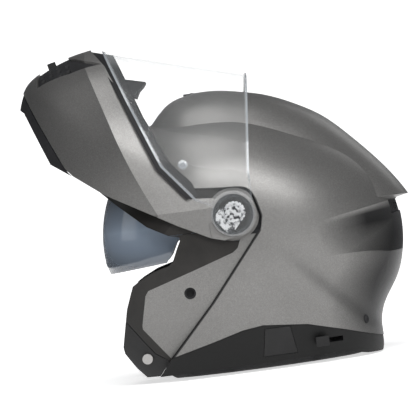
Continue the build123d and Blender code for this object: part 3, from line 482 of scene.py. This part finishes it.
def metal_finish(name, color, roughness, lined=False, pocket_shade_width=None):
    """Plated or brushed metal with faint scratches, and painted shade of cast pockets of a given
    width.
    """
    metal = Finish(name)
    place = metal.place(BRUSHED if lined else EVEN)
    scratch = metal.noise(place, pitch=0.0012, detail=6.0, rough=0.7)
    tone = metal.two_tone(scratch, toned(color, 0.88), color, dark_at=0.3, light_at=0.6)
    # Painted shade: dark patches stand in for the shaded cast pockets that the solid lacks
    if pocket_shade_width is not None:
        cast = metal.noise(place, pocket_shade_width, detail=1.0)
        pocket_shade = metal.two_tone(cast, (0.08, 0.08, 0.085), WHITE, dark_at=0.36, light_at=0.52)
        tone = metal.multiplied(tone, pocket_shade)
    metal.feed("Base Color", tone)
    metal.plain({"Metallic": 1.0})
    metal.feed("Roughness", metal.spread(scratch, roughness, roughness + 0.22))
    metal.relief(scratch, strength=0.12, distance=0.00003)
    return metal.material


def clear_finish(look):
    """Clear polished sheet: nearly nothing face on, seen where it turns away and at its edges."""
    sheet = Finish("clear_polished_sheet")
    sheet.plain({"IOR": 1.58, "Specular IOR Level": 0.7})
    haze = sheet.noise(sheet.place(), pitch=0.03, detail=4.0, rough=0.6)
    sheet.feed("Roughness", sheet.spread(haze, 0.015, 0.05))
    facing = sheet.add("ShaderNodeLayerWeight", {"Blend": 0.28}, {}).outputs["Facing"]
    face = sheet.spread(facing, look.clear_face, look.clear_rim, from_low=0.35)
    edge = sheet.sheet_edge()
    sheet.feed("Base Color", sheet.two_tone(edge, look.clear_color, look.edge_color))
    flat = sheet.place((1.0, 0.0, 1.0))
    reach = sheet.distance(flat, (PIVOT.x, 0.0, PIVOT.z))
    outside = sheet.spread(reach, HUB_EDGE_SHARE, 1.0, *HUB_RING)
    lit = sheet.calc("MULTIPLY", edge, look.clear_edge, outside)
    sheet.feed("Alpha", sheet.calc("MAXIMUM", face, lit))
    return sheet.material


def smoke_finish(look):
    """Smoked sheet, darkest at the top, palest at the middle and darker again below."""
    sheet = Finish("smoked_sheet")
    low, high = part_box("sun_visor")
    rise = sheet.axes(sheet.place())["Z"]
    fade = sheet.spread(rise, 0.0, 1.0, from_low=low.z, from_high=high.z)
    foot, pale, dark = (toned(look.smoke_color, share) for share in (0.8, 3.6, 0.36))
    tint = sheet.two_tone(fade, foot, dark, light_at=0.95)
    tint.node.color_ramp.elements.new(0.45).color = (*pale, 1.0)
    sheet.feed("Base Color", tint)
    density = look.smoke_density
    sheet.feed("Alpha", sheet.spread(fade, density - 0.2, density, from_low=0.0, from_high=0.7))
    specks = sheet.noise(sheet.place(), pitch=0.02, detail=4.0)
    sheet.feed("Roughness", sheet.spread(specks, 0.04, 0.1))
    sheet.plain({"IOR": 1.55, "Coat Weight": 0.6, "Coat Roughness": 0.03})
    return sheet.material


def foam_finish(look):
    """Bead foam: pressed beads a few millimetres wide, each with its own shade."""
    foam = Finish("black_bead_foam")
    place = foam.place()
    shade = foam.speckles(place, BEAD)["Red"]
    pale = toned(look.foam_color, 1.7)
    foam.feed("Base Color", foam.two_tone(shade, toned(look.foam_color, 0.8), pale))
    foam.plain({"Roughness": 0.82})
    foam.relief(foam.cells(place, BEAD, "DISTANCE_TO_EDGE"), strength=0.5, distance=0.0006)
    return foam.material


def cloth_finish(name, color, pitch, around=("X", "Z"), sheen=0.3, roughness=0.85):
    """Knitted or woven cloth, paler on the high threads, with a soft sheen and faint fading."""
    cloth = Finish(name)
    place = cloth.place()
    threads = cloth.woven(place, pitch, around)
    fading = cloth.noise(place, pitch=0.03, detail=3.0, rough=0.6)
    yarn = cloth.two_tone(threads, toned(color, 0.45), toned(color, 1.75))
    worn = cloth.two_tone(fading, (0.78, 0.78, 0.80), WHITE, dark_at=0.3, light_at=0.7)
    cloth.feed("Base Color", cloth.multiplied(yarn, worn))
    cloth.plain({"Roughness": roughness, "Sheen Weight": sheen, "Sheen Roughness": 0.45})
    creases = cloth.relief(fading, strength=0.25, distance=0.0012)
    cloth.relief(threads, strength=0.6, distance=pitch * 0.35, below=creases)
    return cloth.material


def webbing_finish(look):
    """Flat woven strap: a herringbone of slanted ribs."""
    webbing = Finish("black_webbing")
    ribs = webbing.woven(webbing.place(), look.weave_pitch * 0.9, ("DIAGONAL", "Y"))
    dark, pale = toned(look.webbing_color, 0.5), toned(look.webbing_color, 2.2)
    webbing.feed("Base Color", webbing.two_tone(ribs, dark, pale))
    webbing.plain({"Roughness": 0.7, "Sheen Weight": 0.2})
    webbing.relief(ribs, strength=0.7, distance=0.0004)
    return webbing.material


def dress(finish, *names):
    """Gives CAD nodes a finish of their own."""
    for name in names:
        piece = frame["nodes"][name]
        piece.data.materials.clear()
        piece.data.materials.append(finish)


def placed(name, data):
    """A new object of the scene, with its mesh, lamp or lens."""
    piece = bpy.data.objects.new(name, data)
    bpy.context.scene.collection.objects.link(piece)
    return piece


# Soft pieces, grown from the space that their solids hold
def copy_of(node, name):
    """A loose copy of a CAD node's shape, welded so that it can be rebuilt."""
    mesh = frame["nodes"][node].data.copy()
    mesh.name = name
    shape = bmesh.new()
    shape.from_mesh(mesh)
    bmesh.ops.remove_doubles(shape, verts=shape.verts, dist=WELD)
    shape.to_mesh(mesh)
    shape.free()
    mesh.materials.clear()
    return placed(name, mesh)


def settle(piece):
    """Applies every modifier on a piece."""
    graph = bpy.context.evaluated_depsgraph_get()
    solid = bpy.data.meshes.new_from_object(piece.evaluated_get(graph))
    piece.modifiers.clear()
    piece.data = solid
    return piece


def regrid(piece, voxel, shrink=0.0):
    """Rebuilds a piece on an even grid, a little smaller, and smooths the steps away."""
    grid = piece.modifiers.new("grid", "REMESH")
    grid.mode = "VOXEL"
    grid.voxel_size = voxel
    settle(piece)
    smooth = piece.modifiers.new("smooth", "SMOOTH")
    smooth.factor = 0.5
    smooth.iterations = 3
    settle(piece)
    if shrink:
        move_out(piece, lambda place, normal: -shrink)
    return piece


def move_out(piece, amount):
    """Moves each point along its normal by what amount(place, normal) gives."""
    normals = [v.normal.copy() for v in piece.data.vertices]
    for vertex, normal in zip(piece.data.vertices, normals):
        vertex.co += normal * amount(vertex.co, normal)
    piece.data.update()
    return piece


def hold(piece, pinned):
    """Groups the points that stay put while a pad swells, and gives the group's name."""
    group = piece.vertex_groups.new(name="held")
    for vertex in piece.data.vertices:
        if pinned(vertex.co):
            group.add([vertex.index], 1.0, "REPLACE")
    return group.name


def fill_out(piece, limit, pinned=None):
    """Swells a pad with air inside it, and keeps every point within limit of where it began."""
    start = [v.co.copy() for v in piece.data.vertices]
    held = hold(piece, pinned) if pinned is not None else ""
    cloth = piece.modifiers.new("cloth", "CLOTH")
    cloth.settings.use_pressure = True
    cloth.settings.uniform_pressure_force = 4.0
    cloth.settings.effector_weights.gravity = 0.0
    cloth.settings.quality = 4
    cloth.settings.tension_stiffness = 18.0
    cloth.settings.compression_stiffness = 10.0
    if held:
        cloth.settings.vertex_group_mass = held
    cloth.point_cache.frame_start = 1
    cloth.point_cache.frame_end = FILL_FRAMES
    scene = bpy.context.scene
    for step in range(1, FILL_FRAMES + 1):
        scene.frame_set(step)
    settle(piece)
    scene.frame_set(1)
    for vertex, begun in zip(piece.data.vertices, start):
        way = vertex.co - begun
        if way.length > limit:
            vertex.co = begun + way * (limit / way.length)
    piece.data.update()
    return piece


def soften(piece):
    """One step of subdivision, shaded smooth."""
    smooth = piece.modifiers.new("subdivision", "SUBSURF")
    smooth.levels = 1
    smooth.render_levels = 1
    settle(piece)
    for face in piece.data.polygons:
        face.use_smooth = True
    return piece


def channel(distance, width, depth):
    """How far a sewn channel draws the cloth in at a distance from its seam."""
    share = abs(distance) / width
    return depth * (1.0 - share * share) ** 2 if share < 1.0 else 0.0


def finish_pad(piece, node, finish):
    """Puts a finished pad on the helmet in the place of its solid."""
    piece.data.materials.append(finish)
    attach(piece, "helmet")
    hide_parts(node)


class HELMET_OT_painted_shells(Operator):
    """Metallic grey paint on the shell, the chin bar and the caps under the hubs"""

    bl_idname = "helmet.painted_shells"
    bl_label = "Painted shells"

    def execute(self, context):
        look = context.scene.helmet_finish
        dress(paint_finish(look, "shell_paint", shell_creases), "outer_shell")
        dress(paint_finish(look, "chin_bar_paint", bar_crease), "chin_bar_shell")
        dress(paint_finish(look, "cap_paint"), "pivot_cap_left", "pivot_cap_right")
        return {"FINISHED"}


class HELMET_OT_black_mouldings(Operator):
    """Satin black trims, vents, lever, button and skirt, and the matt rubber edges"""

    bl_idname = "helmet.black_mouldings"
    bl_label = "Black mouldings"

    def execute(self, context):
        look = context.scene.helmet_finish
        dress(trim_finish(look, "warm_black_trim", WARM_BLACK, roughness=0.34),
              "side_trim_left", "side_trim_right", "eyeport_trim")
        dress(trim_finish(look, "skirt_black", SKIRT_BLACK, roughness=0.55), "bottom_skirt")
        dress(trim_finish(look, "satin_black_moulding", look.trim_color, roughness=0.42),
              "intercom_cover", "lower_cover_left", "lower_cover_right", "sun_visor_lever",
              "top_vent_slider", "chin_vent_slider", "release_button")
        dress(trim_finish(look, "vent_black", VENT_BLACK, roughness=0.55),
              "top_vent_grille", "extractor_grille", "chin_vent_grille", "buckle_tongue")
        dress(trim_finish(look, "mechanism_black", MECHANISM_BLACK, roughness=0.5),
              "ratchet_base_left", "ratchet_base_right")
        dress(rubber_finish(look),
              "chin_bar_frame", "chin_edge_trim", "breath_guard", "panel_plugs")
        return {"FINISHED"}


class HELMET_OT_rear_plugs(Operator):
    """Dark screw covers low at the rear of the shell, one on each side"""

    bl_idname = "helmet.rear_plugs"
    bl_label = "Rear plugs"

    def execute(self, context):
        look = context.scene.helmet_finish
        rubber = rubber_finish(look)
        shell = frame["nodes"]["outer_shell"]
        for side, sign in SIDES:
            start = Vector((REAR_PLUG[0], sign * OUTSIDE, REAR_PLUG[1]))
            met, place, normal, face = shell.ray_cast(start, Vector((0.0, -sign, 0.0)))
            if not met:
                raise RuntimeError("the shell has no flank where the rear plug sits")
            plug = self.plug("rear_plug_" + side, look.plug_radius, look.plug_height)
            plug.data.transform(normal.to_track_quat("Z", "Y").to_matrix().to_4x4())
            plug.data.transform(Matrix.Translation(place))
            plug.data.materials.append(rubber)
            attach(plug, "helmet")
        return {"FINISHED"}

    def plug(self, name, radius, height):
        """A low domed disc with a dished middle, sunk a little below its own foot."""
        rings = ((1.0, -0.8), (1.0, 0.35), (0.93, 0.8), (0.80, 1.0), (0.62, 0.55))
        dish = 0.45
        count = 40
        turns = [math.tau * i / count for i in range(count)]
        shape = bmesh.new()
        rows = [[shape.verts.new((math.cos(turn) * radius * reach, math.sin(turn) * radius * reach,
                                  height * rise)) for turn in turns] for reach, rise in rings]
        top = shape.verts.new((0.0, 0.0, height * dish))
        for one, two in zip(rows, rows[1:]):
            for i in range(count):
                shape.faces.new((one[i], one[(i + 1) % count], two[(i + 1) % count], two[i]))
        for i in range(count):
            shape.faces.new((rows[-1][i], rows[-1][(i + 1) % count], top))
        shape.faces.new(list(reversed(rows[0])))
        mesh = bpy.data.meshes.new(name)
        shape.to_mesh(mesh)
        shape.free()
        for face in mesh.polygons:
            face.use_smooth = len(face.vertices) < count
        return placed(name, mesh)


class HELMET_OT_metal_parts(Operator):
    """Bright visor ratchets, steel pins, plates and the strap's buckle"""

    bl_idname = "helmet.metal_parts"
    bl_label = "Metal parts"

    def execute(self, context):
        look = context.scene.helmet_finish
        # The ratchets get patches of painted shade for their cast pockets
        dress(metal_finish("bright_cast_metal", look.chrome_color, roughness=0.28, pocket_shade_width=0.0038),
              "ratchet_left", "ratchet_right")
        dress(metal_finish("polished_steel", PIN_STEEL, roughness=0.25),
              "striker_pins", "sun_visor_pins", "strap_anchors", "buckle_pin",
              "latch_catch_left", "latch_catch_right")
        dress(metal_finish("brushed_steel", PLATE_STEEL, roughness=0.3, lined=True),
              "pivot_plate_left", "pivot_plate_right", "buckle_body", "buckle_lever")
        return {"FINISHED"}


class HELMET_OT_visors(Operator):
    """Clear polished visor with its insert pins, and the smoked sun visor"""

    bl_idname = "helmet.visors"
    bl_label = "Visors"

    def execute(self, context):
        look = context.scene.helmet_visor
        dress(clear_finish(look), "visor", "pinlock_pins")
        dress(smoke_finish(look), "sun_visor")
        return {"FINISHED"}


class HELMET_OT_foam_liners(Operator):
    """Bead foam of the shell and of the chin bar"""

    bl_idname = "helmet.foam_liners"
    bl_label = "Foam liners"

    def execute(self, context):
        dress(foam_finish(context.scene.helmet_lining), "eps_liner", "chin_bar_liner")
        return {"FINISHED"}


class HELMET_OT_crown_pad(Operator):
    """Quilted crown pad, swollen between its sewn channels"""

    bl_idname = "helmet.crown_pad"
    bl_label = "Crown pad"

    def execute(self, context):
        lining = context.scene.helmet_lining
        pad = regrid(copy_of("crown_pad", "crown_cushion"), lining.pad_voxel, shrink=0.0015)
        fill_out(pad, limit=lining.pad_swell * 0.7)
        low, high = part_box("crown_pad")
        middle = (low + high) / 2
        head = Vector((middle.x, 0.0, low.z - 0.03))

        def drawn_in(place, normal):
            if normal.dot(head - place) <= 0:
                return 0.0
            along = min(abs(place.y), abs(abs(place.y) - CROWN_SIDE_SEAM))
            across = min(abs(place.x - middle.x - step) for step in CROWN_CROSS_SEAMS)
            return -max(channel(along, lining.seam_width, lining.seam_depth),
                        channel(across, lining.seam_width, lining.seam_depth * 0.8))

        move_out(pad, drawn_in)
        soften(pad)
        cloth = cloth_finish("airy_knit", lining.mesh_color, lining.weave_pitch * 1.6,
                             around=("X", "Y"))
        finish_pad(pad, "crown_pad", cloth)
        return {"FINISHED"}


class HELMET_OT_cheek_pads(Operator):
    """Cheek pads with a long sewn channel and a short one above it"""

    bl_idname = "helmet.cheek_pads"
    bl_label = "Cheek pads"

    def execute(self, context):
        lining = context.scene.helmet_lining
        cloth = cloth_finish("navy_knit", lining.cloth_color, lining.weave_pitch, sheen=0.45)
        for side, sign in SIDES:
            node = "cheek_pad_" + side
            pad = regrid(copy_of(node, "cheek_cushion_" + side), lining.pad_voxel, shrink=0.0012)
            fill_out(pad, limit=lining.pad_swell)
            low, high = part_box(node)
            middle = (low + high) / 2

            def drawn_in(place, normal):
                if normal.y * sign > 0.2:
                    return 0.0
                back = place.x - middle.x
                rise = (place.z - middle.z) - CHEEK_SEAM_SLOPE * back
                seam = channel(rise, lining.seam_width, lining.seam_depth)
                cross = channel(back - CHEEK_CROSS_SEAM, lining.seam_width, lining.seam_depth * 0.7)
                return -max(seam, cross if rise > 0 else 0.0)

            move_out(pad, drawn_in)
            soften(pad)
            finish_pad(pad, node, cloth)
        return {"FINISHED"}


class HELMET_OT_neck_ring(Operator):
    """Padded ring round the neck in smooth cloth, seamed where its panels meet"""

    bl_idname = "helmet.neck_ring"
    bl_label = "Neck ring"

    def execute(self, context):
        lining = context.scene.helmet_lining
        pad = regrid(copy_of("neck_roll", "neck_cushion"), lining.pad_voxel, shrink=0.0012)
        low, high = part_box("neck_roll")
        middle = (low + high) / 2
        foot = low.z + NECK_FOOT
        fill_out(pad, limit=lining.pad_swell * 0.8, pinned=lambda place: place.z < foot)

        def drawn_in(place, normal):
            if place.z <= foot:
                return 0.0
            angle = math.atan2(place.y, place.x - middle.x)
            reach = math.hypot(place.x - middle.x, place.y)
            near = min(abs(angle - seam) for seam in NECK_SEAMS) * reach
            return -channel(near, lining.seam_width * 0.7, lining.seam_depth * 0.6)

        move_out(pad, drawn_in)
        soften(pad)
        for vertex in pad.data.vertices:
            vertex.co.z = max(vertex.co.z, low.z)
        cloth = cloth_finish("neck_cloth", lining.leather_color, lining.weave_pitch * 0.7,
                             sheen=0.25, roughness=0.6)
        finish_pad(pad, "neck_roll", cloth)
        return {"FINISHED"}


class HELMET_OT_chin_curtain(Operator):
    """Wind cloth under the chin, slack between its ends"""

    bl_idname = "helmet.chin_curtain"
    bl_label = "Chin curtain"

    def execute(self, context):
        lining = context.scene.helmet_lining
        cloth = cloth_finish("wind_cloth", lining.cloth_color, lining.weave_pitch * 0.8,
                             around=("X", "Y"))
        curtain = regrid(copy_of("chin_curtain", "wind_curtain"), voxel=0.0016)
        low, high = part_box("chin_curtain")

        def slack(place, normal):
            across = math.sin(place.y / SLACK_ACROSS)
            return SLACK_HEIGHT * across * math.sin((place.z - low.z) / SLACK_DOWN)

        move_out(curtain, slack)
        soften(curtain)
        curtain.data.materials.append(cloth)
        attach(curtain, "chin_bar")
        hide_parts("chin_curtain")
        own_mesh(curtain)
        return {"FINISHED"}


class HELMET_OT_straps(Operator):
    """Flat webbing straps with rounded edges, running down to the buckle"""

    bl_idname = "helmet.straps"
    bl_label = "Chin straps"

    def execute(self, context):
        cloth = webbing_finish(context.scene.helmet_lining)
        for side in ("left", "right"):
            node = "chin_strap_" + side
            strap = copy_of(node, "webbing_" + side)
            edge = strap.modifiers.new("edge", "BEVEL")
            edge.width = 0.0006
            edge.segments = 2
            settle(strap)
            for face in strap.data.polygons:
                face.use_smooth = True
            strap.data.materials.append(cloth)
            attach(strap, "helmet")
            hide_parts(node)
        return {"FINISHED"}


class HELMET_OT_studio(Operator):
    """Plain floor, soft lamps and the camera at the side of the helmet"""

    bl_idname = "helmet.studio"
    bl_label = "Studio"

    def execute(self, context):
        stage = context.scene.helmet_stage
        scene = context.scene
        self.backdrop(stage)
        self.world(scene, stage)
        self.lamps(stage)
        scene.view_settings.view_transform = "Standard"
        self.camera(scene, stage)
        return {"FINISHED"}

    def backdrop(self, stage):
        """Floor under the helmet and a pale wall well behind it."""
        near, far, side = -0.95, 3.2, 0.8
        floor, top = -0.0004, 1.0
        front, foot, head = (near, floor), (far, floor), (far, top)
        for name, one, two in (("studio_floor", front, foot), ("studio_wall", foot, head)):
            corners = [(-side, *one), (side, *one), (side, *two), (-side, *two)]
            mesh = bpy.data.meshes.new(name)
            mesh.from_pydata(corners, [], [(0, 1, 2, 3)])
            mesh.materials.append(self.pale_finish(stage, name + "_finish"))
            placed(name, mesh)

    def pale_finish(self, stage, name):
        """White in view, less so near the helmet, where the lamps and its shadow do the rest."""
        pale = Finish(name)
        place = pale.place()
        mottle = pale.noise(place, pitch=0.4)
        dull = toned(stage.backdrop, 0.99)
        tone = pale.two_tone(mottle, dull, stage.backdrop, dark_at=0.3, light_at=0.7)
        pale.feed("Base Color", tone)
        pale.plain({"Roughness": 0.9, "Specular IOR Level": 0.1,
                    "Emission Color": (1.0, 1.0, 1.0, 1.0)})
        reach = pale.distance(place, (PIVOT.x, 0.0, 0.0))
        glow = pale.spread(reach, stage.floor_glow, 1.0, from_low=0.15, from_high=0.55)
        path = pale.nodes.new("ShaderNodeLightPath").outputs
        in_view = pale.calc("MAXIMUM", path["Is Camera Ray"], path["Is Glossy Ray"],
                            path["Is Transmission Ray"])
        pale.feed("Emission Strength", pale.calc("MULTIPLY", in_view, glow))
        return pale.material

    def world(self, scene, stage):
        """Faint cool light from all round."""
        world = bpy.data.worlds.new("studio_surround")
        scene.world = world
        world.use_nodes = True
        lit = world.node_tree.nodes["Background"]
        lit.inputs["Color"].default_value = (0.92, 0.95, 1.0, 1.0)
        lit.inputs["Strength"].default_value = stage.surround

    def lamps(self, stage):
        """Soft rectangular lamps that face the hub: way from it, width, height and power."""
        middle = Vector((PIVOT.x, 0.0, PIVOT.z))
        for name, way, width, height, power in (
                ("overhead_lamp", (0.05, -1.6, 1.25), 1.3, 0.9, stage.key_power),
                ("flank_lamp", (0.8, -1.75, 0.75), 0.6, 0.9, stage.fill_power * 2),
                ("top_lamp", (-0.1, -0.35, 1.5), 0.8, 0.8, stage.fill_power),
                ("side_lamp", (-0.7, -1.6, 0.5), 0.9, 1.2, stage.fill_power * 0.45),
                ("front_lamp", (-1.5, 0.1, 0.55), 0.6, 1.0, stage.fill_power * 0.2),
                ("rear_lamp", (1.0, 1.2, 0.9), 0.7, 0.9, stage.fill_power * 0.4)):
            light = bpy.data.lights.new(name, "AREA")
            light.shape = "RECTANGLE"
            light.size = width
            light.size_y = height
            light.energy = power
            lamp = placed(name, light)
            lamp.location = middle + Vector(way)
            lamp.rotation_euler = (-Vector(way)).to_track_quat("-Z", "Y").to_euler()

    def camera(self, scene, stage):
        """Long lens square to the side of the helmet, rolled by the tilt."""
        lens = bpy.data.cameras.new("side_camera")
        lens.sensor_width = 36.0
        lens.lens = lens.sensor_width * stage.camera_distance / stage.view_width
        lens.clip_start = 0.1
        lens.clip_end = 50.0
        right = Vector((math.cos(stage.tilt), 0.0, -math.sin(stage.tilt)))
        up = Vector((math.sin(stage.tilt), 0.0, math.cos(stage.tilt)))
        back = right.cross(up)
        ahead, above = 0.0202, 0.0065
        centre = Vector((PIVOT.x - ahead, 0.0, PIVOT.z + above))
        turn = Matrix((right, up, back)).transposed().to_4x4()
        camera = placed("side_camera", lens)
        camera.matrix_world = Matrix.Translation(centre + back * stage.camera_distance) @ turn
        scene.camera = camera


class HELMET_PT_sidebar(Panel):
    """Sizes, colours and steps of the helmet"""

    bl_label = "Helmet"
    bl_idname = "HELMET_PT_sidebar"
    bl_space_type = "VIEW_3D"
    bl_region_type = "UI"
    bl_category = "Helmet"

    def draw(self, context):
        for group in GROUPS:
            box = self.layout.box()
            settings = getattr(context.scene, group)
            for name in settings.bl_rna.properties.keys():
                if name not in {"rna_type", "name"}:
                    box.prop(settings, name)
        for operator in PIECES + STAGE:
            self.layout.operator(operator.bl_idname)


GROUPS = {
    "helmet_finish": HelmetFinishSettings,
    "helmet_visor": HelmetVisorSettings,
    "helmet_lining": HelmetLiningSettings,
    "helmet_stage": HelmetStageSettings,
}
PIECES = (
    HELMET_OT_painted_shells, HELMET_OT_black_mouldings, HELMET_OT_rear_plugs,
    HELMET_OT_metal_parts, HELMET_OT_visors,
    HELMET_OT_foam_liners, HELMET_OT_crown_pad, HELMET_OT_cheek_pads, HELMET_OT_neck_ring,
    HELMET_OT_chin_curtain, HELMET_OT_straps,
)
STAGE = (HELMET_OT_studio,)


def register():
    """Adds the settings, the operators and the panel."""
    for group in GROUPS.values():
        bpy.utils.register_class(group)
    for operator in PIECES + STAGE:
        bpy.utils.register_class(operator)
    bpy.utils.register_class(HELMET_PT_sidebar)
    for name, group in GROUPS.items():
        setattr(bpy.types.Scene, name, PointerProperty(type=group))


def unregister():
    """Takes them away in the other order."""
    for name in GROUPS:
        delattr(bpy.types.Scene, name)
    bpy.utils.unregister_class(HELMET_PT_sidebar)
    for operator in reversed(PIECES + STAGE):
        bpy.utils.unregister_class(operator)
    for group in reversed(GROUPS.values()):
        bpy.utils.unregister_class(group)


def main():
    """Makes every piece and the stage, in the order of the lists above."""
    register()
    for operator in PIECES + STAGE:
        group, step = operator.bl_idname.split(".")
        done = getattr(getattr(bpy.ops, group), step)()
        if "FINISHED" not in done:
            raise RuntimeError(operator.bl_label + " didn't finish")


if __name__ == "__main__":
    main()
